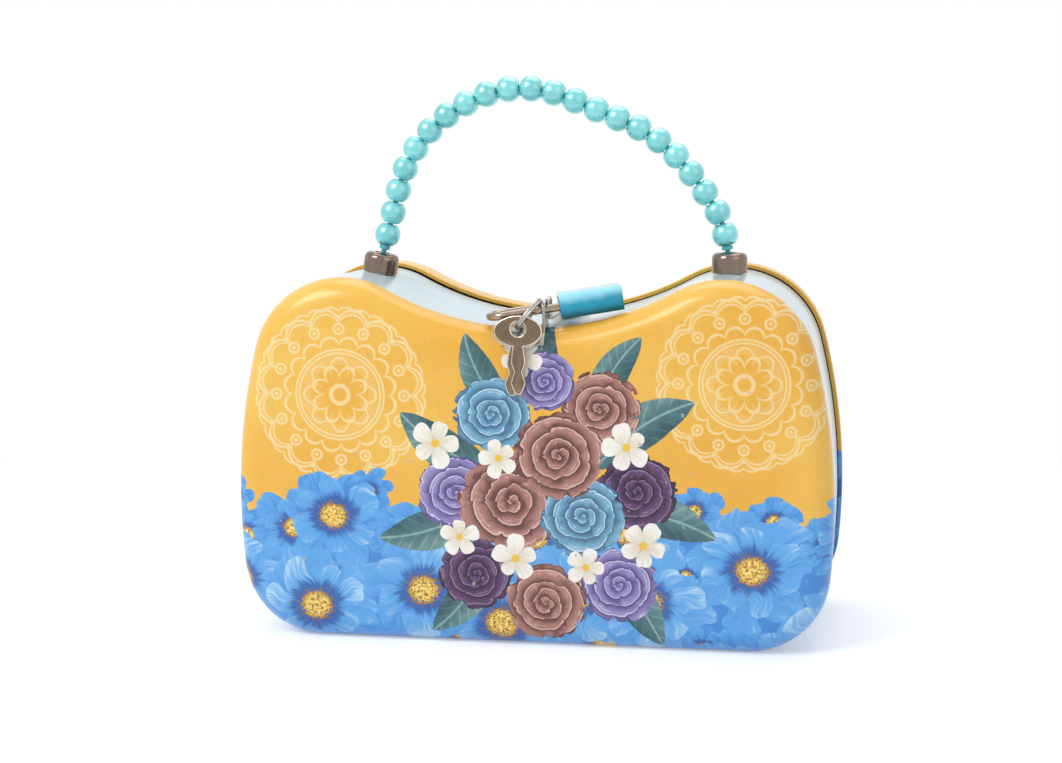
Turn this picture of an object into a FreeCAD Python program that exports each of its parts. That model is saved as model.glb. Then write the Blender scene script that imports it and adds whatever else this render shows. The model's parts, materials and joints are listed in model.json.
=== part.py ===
import FreeCAD, Part
import math
import os
from FreeCAD import Vector

# Tin money box in the shape of a handbag, in millimetres.
# X runs across the front, Y from the front face to the back, Z up from the floor.

# Outline of the case, seen from the front
CASE_WIDTH = 180.0
HUMP_TOP_Z = 109.6
HUMP_IN = 33.0
HUMP_R = 27.9
SADDLE_Z = 95.0
CORNER_R = 24.2
SIDE_R = 190.0
HUMP_X = CASE_WIDTH / 2 - HUMP_IN

# Stations through the depth
SHEET = 0.5
WALL_DEPTH = 50.0
PANEL_ROUND = 7.5
SKIRT_LAP = 5.0
GROOVE_WIDTH = 3.0
NECK_DEPTH = 9.0
COVER_DEPTH = 15.0
COVER_ROUND = 4.0
RIM_WIDTH = 2.0
RIM_OUT = 0.3
RIM_THICKNESS = 1.3
RIM_ROUND = 0.9
NECK_IN = 2.5
COVER_OUT = 1.2
LAP_CLEARANCE = 0.05
SEAM_Y = -WALL_DEPTH / 2 - 2.5
FACE_Y = SEAM_Y - PANEL_ROUND
GROOVE_Y = SEAM_Y + WALL_DEPTH
RIM_Y = GROOVE_Y + GROOVE_WIDTH
BACK_Y = RIM_Y + COVER_DEPTH

# Coin slot through the back of the cover
SLOT_LENGTH = 36.0
SLOT_HEIGHT = 5.0
SLOT_Z = 76.0

# Hinge along the bottom of the groove
HINGE_PIN_R = 0.55
HINGE_RUN_CLEARANCE = 0.05
KNUCKLE_R = 1.0
KNUCKLE_LENGTH = 12.0
KNUCKLE_COUNT = 5
KNUCKLE_GAP = 0.3
HINGE_Z = 1.15
HINGE_Y = GROOVE_Y + 1.7
LEAF_SHEET = 0.4
LEAF_REACH = 4.0
LEAF_FOOT_GAP = 0.2

# Handle feet
FOOT_LEFT_IN = 4.5
FOOT_LEFT_X = FOOT_LEFT_IN - HUMP_X
FOOT_RIGHT_X = HUMP_X
FOOT_Y = 0.0
FOOT_GAP = 0.05
CUP_R = 5.4
CUP_HEIGHT = 6.2
CUP_WALL = 0.8
CUP_SHOULDER_R = 1.9
CUP_MOUTH_R = 2.3
STUD_R = 1.5
STUD_LENGTH = 4.2
STUD_CLEARANCE = 0.15
NUT_ACROSS_FLATS = 6.0
NUT_HEIGHT = 2.4
NUT_CLEARANCE = 0.03
NUT_DROP = 0.4
PIVOT_RISE = 3.5
STOP_BALL_R = 2.6

# Handle wire and beads: guide corners as distance in from the nearer foot and height over the humps
GUIDE_FROM_LEFT = [(11.0, 42.4), (43.5, 59.9)]
GUIDE_FROM_RIGHT = [(19.5, 40.6), (2.4, 17.2)]
GUIDE_SHARE = 0.46
WIRE_R = 0.8
BEAD_R = 4.0
BEAD_LENGTH = 6.5
BEAD_BORE_R = 1.15
BEAD_PITCH = 7.2
BEAD_START = 8.3
SPACER_R = 1.7
SPACER_LENGTH = 1.3
SPACER_GAP = 0.15

# Padlock, built along its own X axis and then laid askew on the saddle
LOCK_Y = -31.0
LOCK_RISE = 4.9
LOCK_YAW = 12.0
LOCK_END_GAP = 0.911
SHACKLE_R = 1.2
LEG_SPACING = 8.4
BEND_X = -6.5
LONG_LEG_END = 17.0
SHORT_LEG_TIP = 5.4
SHACKLE_TRAVEL = 6.7
NOTCH_DEPTH = 0.6
NOTCH_LENGTH = 2.4
BLOCK_X = 9.9
BLOCK_LENGTH = 18.6
BLOCK_DEPTH = 15.0
BLOCK_HEIGHT = 7.2
BLOCK_FRONT = 3.2
BLOCK_ROUND = 2.2
SHELL_WALL = 1.0
SHELL_RECESS = 1.2
CORE_CLEARANCE = 0.05
LEG_CLEARANCE = 0.05
LONG_BORE_DEPTH = 15.0
SHORT_BORE_DEPTH = 4.4
PLUG_Y = 5.3
PLUG_R = 1.7
PLUG_LENGTH = 10.5
PLUG_CLEARANCE = 0.05
PLUG_SHANK_R = 1.0
CAM_X = 2.8
CAM_LENGTH = 1.8
CAM_REACH = 2.3
CAM_WIDTH = 1.4
KEYWAY_WIDTH = 0.9
KEYWAY_HEIGHT = 2.6
KEYWAY_DEPTH = 6.0
SPRING_R = 1.0
SPRING_BORE_R = 0.7
SPRING_GAP = 0.1

# Catch plate folded over the front edge of the case
PLATE_SHEET = 0.6
PLATE_GAP = 0.3
PLATE_LEFT = -7.0
PLATE_RIGHT = 5.8
PLATE_FRONT_LENGTH = 2.3
PLATE_TAIL_LENGTH = 9.6
PLATE_TAIL_RIGHT = 0.2
PLATE_WRAP = 68.0
EAR_SHEET = 0.8
EAR_R = 3.0
EAR_HOLE_R = 2.0
RIVET_R = 0.8
RIVET_HEAD_R = 1.3
RIVET_HEAD_HEIGHT = 0.8
RIVET_TAIL = 0.6
CATCH_RIVETS_X = [-5.2, -1.8]
CATCH_RIVETS_IN = 7.2

# Tongue riveted to the cover, which reaches forward to the short leg
TONGUE_SHEET = 0.7
TONGUE_GAP = 0.8
TONGUE_X = 5.2
TONGUE_ROOT_WIDTH = 8.0
TONGUE_TIP_WIDTH = 2.8
TONGUE_NECK_Y = -6.0
TONGUE_FRONT_GAP = 0.8
TONGUE_ROOT_GAP = 0.55
TONGUE_STEP_GAP = 0.1
TONGUE_RIVET_MARGIN = 0.2
TAB_SHEET = 0.8
TAB_R = 2.9
TAB_HOLE_R = 2.0
TONGUE_RIVET_PITCH = 4.6

# Key ring and keys
RING_R = 5.4
RING_WIRE_R = 0.4
RING_TURN_STEP = 0.7
RING_LEAN = 50.0
RING_LEG_X = 1.6
RING_LEG_BACK = 3.0
RING_LEG_UP = 0.8
KEY_SHEET = 0.7
KEY_BACK_GAP = 1.25
KEY_STEP = 0.95
KEY_BOW_WIDTH = 14.2
KEY_BOW_HEIGHT = 9.2
KEY_HOLE_R = 2.2
KEY_HOLE_UP = 0.7
KEY_HANG = 1.1
KEY_BACK_TURN = 5.0
KEY_BLADE = [(0.0, 1.5), (2.6, 1.9), (5.4, 2.1), (8.0, 1.2), (11.2, 2.2), (13.0, 1.6), (14.6, 0.7)]


def vec(x, y, z):
    return Vector(x, y, z)


def save(shape, name):
    shape.exportStep("parts/" + name + ".step")


def fused(shapes):
    return shapes[0].multiFuse(shapes[1:]).removeSplitter()


def box(low, high):
    return Part.makeBox(high[0] - low[0], high[1] - low[1], high[2] - low[2], vec(*low))


def arc_between(center, start, end, y):
    """The shorter arc about center, in the plane of that Y."""
    spread = (start - center) + (end - center)
    middle = center + spread.normalize() * (start - center).Length
    return Part.Arc(start, middle, end).toShape()


# Centres of the outline's arcs, right half
HUMP_C = vec(HUMP_X, 0, HUMP_TOP_Z - HUMP_R)
SADDLE_DROP = SADDLE_Z - HUMP_C.z
SADDLE_R = (HUMP_X ** 2 + SADDLE_DROP ** 2 - HUMP_R ** 2) / (2 * (HUMP_R - SADDLE_DROP))
SADDLE_C = vec(0, 0, SADDLE_Z + SADDLE_R)
SIDE_X = CASE_WIDTH / 2 - SIDE_R
SIDE_C = vec(SIDE_X, 0, HUMP_C.z - math.sqrt((SIDE_R - HUMP_R) ** 2 - (HUMP_X - SIDE_X) ** 2))


def toward(start, end, length):
    return start + (end - start).normalize() * length


def mirrored(point):
    return vec(-point.x, point.y, point.z)


def outline_face(inset, y, floor_z):
    """The case's outline, moved inwards by inset but standing at floor_z, as a face at that Y."""
    lift = vec(0, y, 0)
    corner_z = floor_z + CORNER_R - inset
    corner_x = SIDE_X + math.sqrt((SIDE_R - CORNER_R) ** 2 - (corner_z - SIDE_C.z) ** 2)
    centers = [c + lift for c in (vec(corner_x, 0, corner_z), SIDE_C, HUMP_C)]
    corner, side, hump = centers
    floor_end = vec(corner_x, y, floor_z)
    corner_end = toward(side, corner, SIDE_R - inset)
    side_end = toward(side, hump, SIDE_R - inset)
    hump_end = toward(hump, SADDLE_C + lift, HUMP_R - inset)
    points = [floor_end, corner_end, side_end, hump_end]
    right = [arc_between(c, points[i], points[i + 1], y) for i, c in enumerate(centers)]
    left = []
    for i in (2, 1, 0):
        left.append(arc_between(mirrored(centers[i]), mirrored(points[i + 1]), mirrored(points[i]), y))
    saddle = arc_between(SADDLE_C + lift, hump_end, mirrored(hump_end), y)
    floor = Part.makeLine(mirrored(floor_end), floor_end)
    return Part.Face(Part.Wire([floor] + right + [saddle] + left))


def slab(inset, start_y, end_y, floor_z=None):
    floor_z = inset if floor_z is None else floor_z
    return outline_face(inset, start_y, floor_z).extrude(vec(0, end_y - start_y, 0))


def hoop(inset, thickness, start_y, end_y):
    return slab(inset, start_y, end_y).cut(slab(inset + thickness, start_y, end_y))


def edges_at(shape, y):
    return [e for e in shape.Edges if all(abs(v.Point.y - y) < SHEET / 10 for v in e.Vertexes)]


def rounded_slab(inset, start_y, end_y, radius, round_y, floor_z=None):
    block = slab(inset, start_y, end_y, floor_z)
    return block.makeFillet(radius, edges_at(block, round_y))


def hump_foot(x):
    """Point on the hump under a handle foot, and the outward direction there."""
    center = HUMP_C if x > 0 else mirrored(HUMP_C)
    reach = x - center.x
    rise = math.sqrt(HUMP_R ** 2 - reach ** 2)
    return vec(x, FOOT_Y, center.z + rise), vec(reach / HUMP_R, 0, rise / HUMP_R)


def saddle_z(x):
    return SADDLE_C.z - math.sqrt(SADDLE_R ** 2 - x ** 2)


# Front panel: drawn dome with a necked skirt inside the wall
def front_panel():
    end_y = SEAM_Y + SKIRT_LAP
    dome = rounded_slab(0, FACE_Y, end_y, PANEL_ROUND, FACE_Y)
    hollow = rounded_slab(SHEET, FACE_Y + SHEET, end_y, PANEL_ROUND - SHEET, FACE_Y + SHEET)
    dome = dome.cut(slab(-SHEET, SEAM_Y, end_y + SHEET))
    lap = SHEET + LAP_CLEARANCE
    shoulder = hoop(SHEET / 2, lap + SHEET / 2, SEAM_Y - SHEET, SEAM_Y)
    skirt = hoop(lap, SHEET, SEAM_Y - SHEET, SEAM_Y + SKIRT_LAP)
    return fused([dome.cut(hollow), shoulder, skirt])


def foot_bores():
    bores = []
    for x in (FOOT_LEFT_X, FOOT_RIGHT_X):
        point, out = hump_foot(x)
        start = point - out * STUD_LENGTH
        bores.append(Part.makeCylinder(STUD_R + STUD_CLEARANCE, STUD_LENGTH * 2, start, out))
    return bores


def catch_rivet_points():
    y = SEAM_Y + CATCH_RIVETS_IN
    return [vec(x, y, SADDLE_Z) for x in CATCH_RIVETS_X]


# Body wall: one strip all round, set in at the back to make the neck
def body_wall():
    strip = hoop(0, SHEET, SEAM_Y, GROOVE_Y)
    shoulder = hoop(0, NECK_IN + SHEET, GROOVE_Y - SHEET, GROOVE_Y)
    neck = hoop(NECK_IN, SHEET, GROOVE_Y - SHEET, GROOVE_Y + NECK_DEPTH)
    wall = fused([strip, shoulder, neck])
    cuts = foot_bores()
    for point in catch_rivet_points():
        cuts.append(Part.makeCylinder(RIVET_R, SHEET * 6, point - vec(0, 0, SHEET * 3)))
    cuts.append(neck_notch())
    return wall.cut(cuts)


def neck_notch():
    """Room in the neck for the tails of the tongue's rivets."""
    half = TONGUE_ROOT_WIDTH / 2 + NECK_IN / 2
    front = RIM_Y + RIM_WIDTH
    low = (TONGUE_X - half, front, SADDLE_Z - 3 * NECK_IN)
    return box(low, (TONGUE_X + half, BACK_Y, SADDLE_Z))


def coin_slot():
    half = (SLOT_LENGTH - SLOT_HEIGHT) / 2
    low = (-half, BACK_Y - COVER_DEPTH / 2, SLOT_Z - SLOT_HEIGHT / 2)
    high = (half, BACK_Y + SHEET, SLOT_Z + SLOT_HEIGHT / 2)
    depth = high[1] - low[1]
    feet = [vec(x, low[1], SLOT_Z) for x in (-half, half)]
    ends = [Part.makeCylinder(SLOT_HEIGHT / 2, depth, foot, vec(0, 1, 0)) for foot in feet]
    return fused([box(low, high)] + ends)


def tongue_rivet_points():
    step_back = RIM_Y + RIM_WIDTH + TONGUE_STEP_GAP + TONGUE_SHEET
    y = step_back + TONGUE_RIVET_MARGIN + RIVET_HEAD_R
    return [vec(TONGUE_X + side * TONGUE_RIVET_PITCH / 2, y, SADDLE_Z + COVER_OUT) for side in (-1, 1)]


# Rear cover: drawn tray with a rolled rim, proud of the wall but level with it on the floor
def rear_cover():
    tray = rounded_slab(-COVER_OUT, RIM_Y, BACK_Y, COVER_ROUND, BACK_Y, RIM_OUT)
    inner_floor = RIM_OUT + SHEET
    inner_back = BACK_Y - SHEET
    hollow = rounded_slab(SHEET - COVER_OUT, RIM_Y, inner_back, COVER_ROUND - SHEET, inner_back, inner_floor)
    rim_end = RIM_Y + RIM_WIDTH
    rim = slab(-COVER_OUT - RIM_OUT, RIM_Y, rim_end, 0)
    rim = rim.makeFillet(RIM_ROUND, edges_at(rim, RIM_Y) + edges_at(rim, rim_end))
    rim = rim.cut(slab(RIM_THICKNESS - COVER_OUT - RIM_OUT, RIM_Y, rim_end, inner_floor))
    cover = fused([tray.cut(hollow), rim]).cut(coin_slot())
    cuts = [Part.makeCylinder(RIVET_R, SHEET * 8, p - vec(0, 0, SHEET * 4)) for p in tongue_rivet_points()]
    return cover.cut(cuts)


# Hinge knuckles, counted from the left; even ones belong to the case
def knuckle_span(index):
    left = (index - KNUCKLE_COUNT / 2) * KNUCKLE_LENGTH
    return left + KNUCKLE_GAP / 2, left + KNUCKLE_LENGTH - KNUCKLE_GAP / 2


def knuckle(index, bore_r):
    start, end = knuckle_span(index)
    foot = vec(start, HINGE_Y, HINGE_Z)
    tube = Part.makeCylinder(KNUCKLE_R, end - start, foot, vec(1, 0, 0))
    return tube.cut(Part.makeCylinder(bore_r, end - start, foot, vec(1, 0, 0)))


def hinge_leaf_body():
    half = KNUCKLE_COUNT * KNUCKLE_LENGTH / 2
    top = NECK_IN - LEAF_FOOT_GAP
    strip = box((-half, GROOVE_Y, LEAF_FOOT_GAP), (half, GROOVE_Y + LEAF_SHEET, top))
    pieces = [strip]
    for index in range(0, KNUCKLE_COUNT, 2):
        start, end = knuckle_span(index)
        web_low = (start, GROOVE_Y, HINGE_Z - LEAF_SHEET / 2)
        web = box(web_low, (end, HINGE_Y, HINGE_Z + LEAF_SHEET / 2))
        bore = Part.makeCylinder(HINGE_PIN_R, end - start, vec(start, HINGE_Y, HINGE_Z), vec(1, 0, 0))
        pieces.append(fused([knuckle(index, HINGE_PIN_R), web.cut(bore)]))
    return fused(pieces)


def hinge_leaf_cover():
    floor = RIM_OUT + SHEET
    half = (KNUCKLE_COUNT - 2) * KNUCKLE_LENGTH / 2 - KNUCKLE_GAP
    back = RIM_Y + LEAF_REACH
    strip = box((-half, RIM_Y + KNUCKLE_GAP, floor), (half, back, floor + LEAF_SHEET))
    pieces = [strip]
    bore_r = HINGE_PIN_R + HINGE_RUN_CLEARANCE
    for index in range(1, KNUCKLE_COUNT, 2):
        start, end = knuckle_span(index)
        link = box((start, HINGE_Y, floor), (end, back, floor + LEAF_SHEET))
        bore = Part.makeCylinder(bore_r, end - start, vec(start, HINGE_Y, HINGE_Z), vec(1, 0, 0))
        pieces.append(fused([knuckle(index, bore_r), link.cut(bore)]))
    return fused(pieces)


def hinge_pin():
    half = KNUCKLE_COUNT * KNUCKLE_LENGTH / 2
    return Part.makeCylinder(HINGE_PIN_R, 2 * half, vec(-half, HINGE_Y, HINGE_Z), vec(1, 0, 0))


# Handle feet: a hollow cup with a stud through the wall and a nut inside
def stand_on(shape, x):
    """Moves a shape built about the Z axis to a handle foot, square to the wall."""
    point, out = hump_foot(x)
    shape.Placement = FreeCAD.Placement(point + out * FOOT_GAP, FreeCAD.Rotation(vec(0, 0, 1), out))
    return shape


def foot_cup(x):
    outer = Part.makeCylinder(CUP_R, CUP_HEIGHT)
    outer = outer.makeFillet(CUP_SHOULDER_R, [outer.Edges[0]])
    hollow = Part.makeCylinder(CUP_R - CUP_WALL, CUP_HEIGHT - 2 * CUP_WALL, vec(0, 0, CUP_WALL))
    hollow = hollow.makeFillet(CUP_SHOULDER_R - CUP_WALL, [hollow.Edges[0]])
    mouth = Part.makeCylinder(CUP_MOUTH_R, CUP_HEIGHT, vec(0, 0, CUP_HEIGHT / 2))
    stud = Part.makeCylinder(STUD_R, STUD_LENGTH, vec(0, 0, -STUD_LENGTH))
    return stand_on(fused([outer.cut([hollow, mouth]), stud]), x)


def foot_nut(x):
    low = -(SHEET + NUT_DROP) - NUT_HEIGHT
    corner_r = NUT_ACROSS_FLATS / 2 / math.cos(math.pi / 6)
    turns = [k * math.pi / 3 for k in range(7)]
    corners = [vec(corner_r * math.cos(t), corner_r * math.sin(t), low) for t in turns]
    nut = Part.Face(Part.makePolygon(corners)).extrude(vec(0, 0, NUT_HEIGHT))
    nut = nut.cut(Part.makeCylinder(STUD_R + NUT_CLEARANCE, NUT_HEIGHT, vec(0, 0, low)))
    return stand_on(nut, x)


# Handle: wire on straight runs and tangent arcs, with the beads spaced along it
def pivot_point(x):
    point, out = hump_foot(x)
    z = HUMP_TOP_Z + PIVOT_RISE
    return point + out * ((z - point.z) / out.z)


def handle_corners():
    left = [vec(FOOT_LEFT_X + x, FOOT_Y, HUMP_TOP_Z + rise) for x, rise in GUIDE_FROM_LEFT]
    right = [vec(FOOT_RIGHT_X - x, FOOT_Y, HUMP_TOP_Z + rise) for x, rise in GUIDE_FROM_RIGHT]
    return [pivot_point(FOOT_LEFT_X)] + left + right + [pivot_point(FOOT_RIGHT_X)]


def handle_edges():
    corners = handle_corners()
    edges = []
    start = corners[0]
    for before, here, after in zip(corners, corners[1:], corners[2:]):
        cut = GUIDE_SHARE * min((here - before).Length, (after - here).Length)
        arc_start = toward(here, before, cut)
        arc_end = toward(here, after, cut)
        half_turn = (here - before).getAngle(after - here) / 2
        radius = cut / math.tan(half_turn)
        inward = ((before - here).normalize() + (after - here).normalize()).normalize()
        middle = here + inward * (radius / math.cos(half_turn) - radius)
        edges.append(Part.makeLine(start, arc_start))
        edges.append(Part.Arc(arc_start, middle, arc_end).toShape())
        start = arc_end
    edges.append(Part.makeLine(start, corners[-1]))
    return edges


def point_along(edges, distance):
    """Point and direction at a distance along a chain of edges."""
    for edge in edges:
        if distance <= edge.Length:
            break
        distance -= edge.Length
    place = edge.getParameterByLength(min(distance, edge.Length))
    return edge.valueAt(place), edge.tangentAt(place)


def handle_wire(edges):
    corners = handle_corners()
    ring = Part.makeCircle(WIRE_R, corners[0], corners[1] - corners[0])
    wire = Part.Wire(edges).makePipeShell([Part.Wire(ring)], True, False)
    return wire


def stop_ball(x):
    center = pivot_point(x)
    return Part.makeSphere(STOP_BALL_R, center)


def threaded(shape, edges, distance):
    """Moves a shape built about the Z axis onto the handle wire."""
    point, along = point_along(edges, distance)
    shape.Placement = FreeCAD.Placement(point, FreeCAD.Rotation(vec(0, 0, 1), along))
    return shape


def bead(radius, length):
    ball = Part.makeSphere(radius)
    trim = Part.makeCylinder(radius, length, vec(0, 0, -length / 2))
    return ball.common(trim).cut(Part.makeCylinder(BEAD_BORE_R, length, vec(0, 0, -length / 2)))


def handle_beads(edges):
    span = sum(e.Length for e in edges) - 2 * BEAD_START
    gaps = round(span / BEAD_PITCH)
    places = [BEAD_START + span * k / gaps for k in range(gaps + 1)]
    return [threaded(bead(BEAD_R, BEAD_LENGTH), edges, place) for place in places]


def bead_spacers(edges):
    total = sum(e.Length for e in edges)
    place = BEAD_START - BEAD_LENGTH / 2 - SPACER_GAP - SPACER_LENGTH / 2
    return [threaded(bead(SPACER_R, SPACER_LENGTH), edges, d) for d in (place, total - place)]


# Padlock frame: X along the shackle's long leg
LOCK_REACH = BLOCK_X + BLOCK_LENGTH
LOCK_END_RISE = saddle_z(LOCK_REACH) + LOCK_END_GAP + BLOCK_HEIGHT / 2 - SADDLE_Z - LOCK_RISE
LOCK_TILT = math.degrees(math.asin(LOCK_END_RISE / LOCK_REACH))
LOCK_TURN = FreeCAD.Rotation(LOCK_YAW, -LOCK_TILT, 0)
LOCK_PLACE = FreeCAD.Placement(vec(0, LOCK_Y, SADDLE_Z + LOCK_RISE), LOCK_TURN)


def laid(shape):
    shape.Placement = LOCK_PLACE
    return shape


def rod(radius, start_x, end_x, y):
    return Part.makeCylinder(radius, end_x - start_x, vec(start_x, y, 0), vec(1, 0, 0))


def lock_block(inset, start_x, end_x):
    low = (start_x, inset - BLOCK_FRONT, inset - BLOCK_HEIGHT / 2)
    high = (end_x, BLOCK_DEPTH - BLOCK_FRONT - inset, BLOCK_HEIGHT / 2 - inset)
    block = box(low, high)
    long_edges = [e for e in block.Edges if abs(e.tangentAt(e.FirstParameter).x) > 0.5]
    return block.makeFillet(BLOCK_ROUND - inset, long_edges)


CORE_X = BLOCK_X + SHELL_RECESS
CORE_END = BLOCK_X + BLOCK_LENGTH - SHELL_WALL
PLUG_X = BLOCK_X + BLOCK_LENGTH - PLUG_LENGTH


def padlock_shell():
    end_x = BLOCK_X + BLOCK_LENGTH
    hollow = lock_block(SHELL_WALL, BLOCK_X, CORE_END)
    keyhole = rod(PLUG_R + PLUG_CLEARANCE, CORE_END, end_x, PLUG_Y)
    return laid(lock_block(0, BLOCK_X, end_x).cut([hollow, keyhole]))


def padlock_core():
    core = lock_block(SHELL_WALL + CORE_CLEARANCE, CORE_X, CORE_END - CORE_CLEARANCE)
    leg_r = SHACKLE_R + LEG_CLEARANCE
    cuts = [rod(leg_r, CORE_X, BLOCK_X + LONG_BORE_DEPTH, 0)]
    cuts.append(rod(leg_r, CORE_X, BLOCK_X + SHORT_BORE_DEPTH, LEG_SPACING))
    cuts.append(rod(PLUG_R + PLUG_CLEARANCE, PLUG_X, CORE_END, PLUG_Y))
    cam_end = BLOCK_X + CAM_X + CAM_LENGTH
    cuts.append(rod(PLUG_SHANK_R + PLUG_CLEARANCE, cam_end, PLUG_X, PLUG_Y))
    room = CAM_REACH + PLUG_CLEARANCE
    cuts.append(rod(room, BLOCK_X + CAM_X - PLUG_CLEARANCE, cam_end + PLUG_CLEARANCE, PLUG_Y))
    return laid(core.cut(cuts))


def key_plug():
    end_x = BLOCK_X + BLOCK_LENGTH - PLUG_CLEARANCE
    body = rod(PLUG_R, PLUG_X + PLUG_CLEARANCE, end_x, PLUG_Y)
    cam_x = BLOCK_X + CAM_X
    shank = rod(PLUG_SHANK_R, cam_x, PLUG_X + 2 * PLUG_CLEARANCE, PLUG_Y)
    lug = box((cam_x, PLUG_Y - CAM_WIDTH / 2, 0), (cam_x + CAM_LENGTH, PLUG_Y + CAM_WIDTH / 2, CAM_REACH))
    lug = lug.common(rod(CAM_REACH, cam_x, cam_x + CAM_LENGTH, PLUG_Y))
    slot_low = (end_x - KEYWAY_DEPTH, PLUG_Y - KEYWAY_HEIGHT / 2, -KEYWAY_WIDTH / 2)
    slot = box(slot_low, (end_x, PLUG_Y + KEYWAY_HEIGHT / 2, KEYWAY_WIDTH / 2))
    return laid(fused([body, shank, lug]).cut(slot))


def shackle():
    long_leg = rod(SHACKLE_R, BEND_X, LONG_LEG_END, 0)
    short_leg = rod(SHACKLE_R, BEND_X, SHORT_LEG_TIP, LEG_SPACING)
    half = LEG_SPACING / 2
    bend = Part.makeTorus(half, SHACKLE_R, vec(BEND_X, half, 0), vec(0, 0, 1))
    reach = half + SHACKLE_R
    keep = box((BEND_X - reach, half - reach, -SHACKLE_R), (BEND_X, half + reach, SHACKLE_R))
    cam_x = BLOCK_X + CAM_X + CAM_LENGTH / 2 - SHACKLE_TRAVEL
    notch_y = LEG_SPACING - SHACKLE_R + NOTCH_DEPTH
    notch_low = (cam_x - NOTCH_LENGTH / 2, notch_y - SHACKLE_R, -SHACKLE_R)
    notch = box(notch_low, (cam_x + NOTCH_LENGTH / 2, notch_y, SHACKLE_R))
    return laid(fused([long_leg, bend.common(keep), short_leg]).cut(notch))


def shackle_spring():
    start = LONG_LEG_END + SPRING_GAP
    end = BLOCK_X + LONG_BORE_DEPTH - SPRING_GAP
    return laid(rod(SPRING_R, start, end, 0).cut(rod(SPRING_BORE_R, start, end, 0)))


def lock_point(x, y):
    """Point of the leg that lies at that Y of the padlock, where it crosses a plane of constant X."""
    along = LOCK_TURN.multVec(vec(1, 0, 0))
    start = LOCK_PLACE.multVec(vec(0, y, 0))
    return start + along * ((x - start.x) / along.x)


# Catch plate: a strip bent over the front edge, with an ear for the long leg
def wrap_center():
    return vec(0, SEAM_Y, SADDLE_Z - PANEL_ROUND)


def under_plate(lift, back_y, left, right):
    """Everything below a surface that lies at that lift over the saddle and the front edge."""
    center = wrap_center()
    radius = PANEL_ROUND + lift
    drum = Part.makeCylinder(radius, right - left, vec(left, center.y, center.z), vec(1, 0, 0))
    flat = box((left, center.y, center.z), (right, back_y, SADDLE_Z + lift))
    return fused([drum, flat])


def plate_strip(left, right, length):
    back_y = SEAM_Y + length
    top = under_plate(PLATE_GAP + PLATE_SHEET, back_y, left, right)
    bent = top.cut(under_plate(PLATE_GAP, back_y, left, right))
    center = wrap_center()
    far = 3 * PANEL_ROUND
    keep = box((left, center.y - far, center.z), (right, back_y, center.z + far))
    turn = FreeCAD.Rotation(vec(1, 0, 0), 90 - PLATE_WRAP)
    trim = box((left, -far, -far), (right, 0, 0))
    trim.Placement = FreeCAD.Placement(center - vec(center.x, 0, 0), turn.inverted())
    return bent.common(keep).cut(trim)


def catch_plate():
    strip = plate_strip(PLATE_LEFT, PLATE_RIGHT, PLATE_FRONT_LENGTH)
    tail = plate_strip(PLATE_LEFT, PLATE_TAIL_RIGHT, PLATE_TAIL_LENGTH)
    eye = lock_point(PLATE_RIGHT - EAR_SHEET / 2, 0)
    left = PLATE_RIGHT - EAR_SHEET
    ear = box((left, eye.y - EAR_R, SADDLE_Z - PANEL_ROUND), (PLATE_RIGHT, eye.y + EAR_R, eye.z))
    disc = Part.makeCylinder(EAR_R, EAR_SHEET, vec(left, eye.y, eye.z), vec(1, 0, 0))
    hole = Part.makeCylinder(EAR_HOLE_R, EAR_SHEET, vec(left, eye.y, eye.z), vec(1, 0, 0))
    below = under_plate(PLATE_GAP + PLATE_SHEET / 2, GROOVE_Y, left, PLATE_RIGHT)
    ear = fused([ear, disc]).cut([hole, below])
    holes = [Part.makeCylinder(RIVET_R, SHEET * 8, p) for p in catch_rivet_points()]
    return fused([strip, tail, ear]).cut(holes)


def rivet(point, top_z, under_z):
    """Domed rivet: head on top_z, shank down to under_z, tail upset below it."""
    base = vec(point.x, point.y, 0)
    shank = Part.makeCylinder(RIVET_R, top_z - under_z, base + vec(0, 0, under_z))
    head = Part.makeCylinder(RIVET_HEAD_R, RIVET_HEAD_HEIGHT, base + vec(0, 0, top_z))
    head = head.makeFillet(RIVET_HEAD_HEIGHT * 0.7, [head.Edges[0]])
    tail = Part.makeCylinder(RIVET_HEAD_R, RIVET_TAIL, base + vec(0, 0, under_z - RIVET_TAIL))
    return fused([shank, head, tail])


def catch_rivets():
    top_z = SADDLE_Z + PLATE_GAP + PLATE_SHEET
    return [rivet(p, top_z, SADDLE_Z - SHEET) for p in catch_rivet_points()]


# Hasp tongue: a strip from the cover's skirt over the rim, with a tab for the short leg
def tongue_heights():
    """Undersides of the strip: on the skirt and over the rim."""
    skirt_z = SADDLE_Z + COVER_OUT
    return skirt_z + TONGUE_ROOT_GAP, skirt_z + RIM_OUT + TONGUE_GAP


def tongue_front_y():
    return SEAM_Y + PLATE_FRONT_LENGTH + TONGUE_FRONT_GAP


def tongue_strip():
    root_z, run_z = tongue_heights()
    step_y = RIM_Y + RIM_WIDTH + TONGUE_STEP_GAP
    root_y = tongue_rivet_points()[0].y + RIVET_HEAD_R + TONGUE_RIVET_MARGIN
    left = TONGUE_X - TONGUE_ROOT_WIDTH / 2
    right = TONGUE_X + TONGUE_ROOT_WIDTH / 2
    root = box((left, step_y, root_z), (right, root_y, root_z + TONGUE_SHEET))
    riser = box((left, step_y, root_z), (right, step_y + TONGUE_SHEET, run_z + TONGUE_SHEET))
    run = box((left, tongue_front_y(), run_z), (right, step_y + TONGUE_SHEET, run_z + TONGUE_SHEET))
    return fused([root, riser, run])


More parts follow.
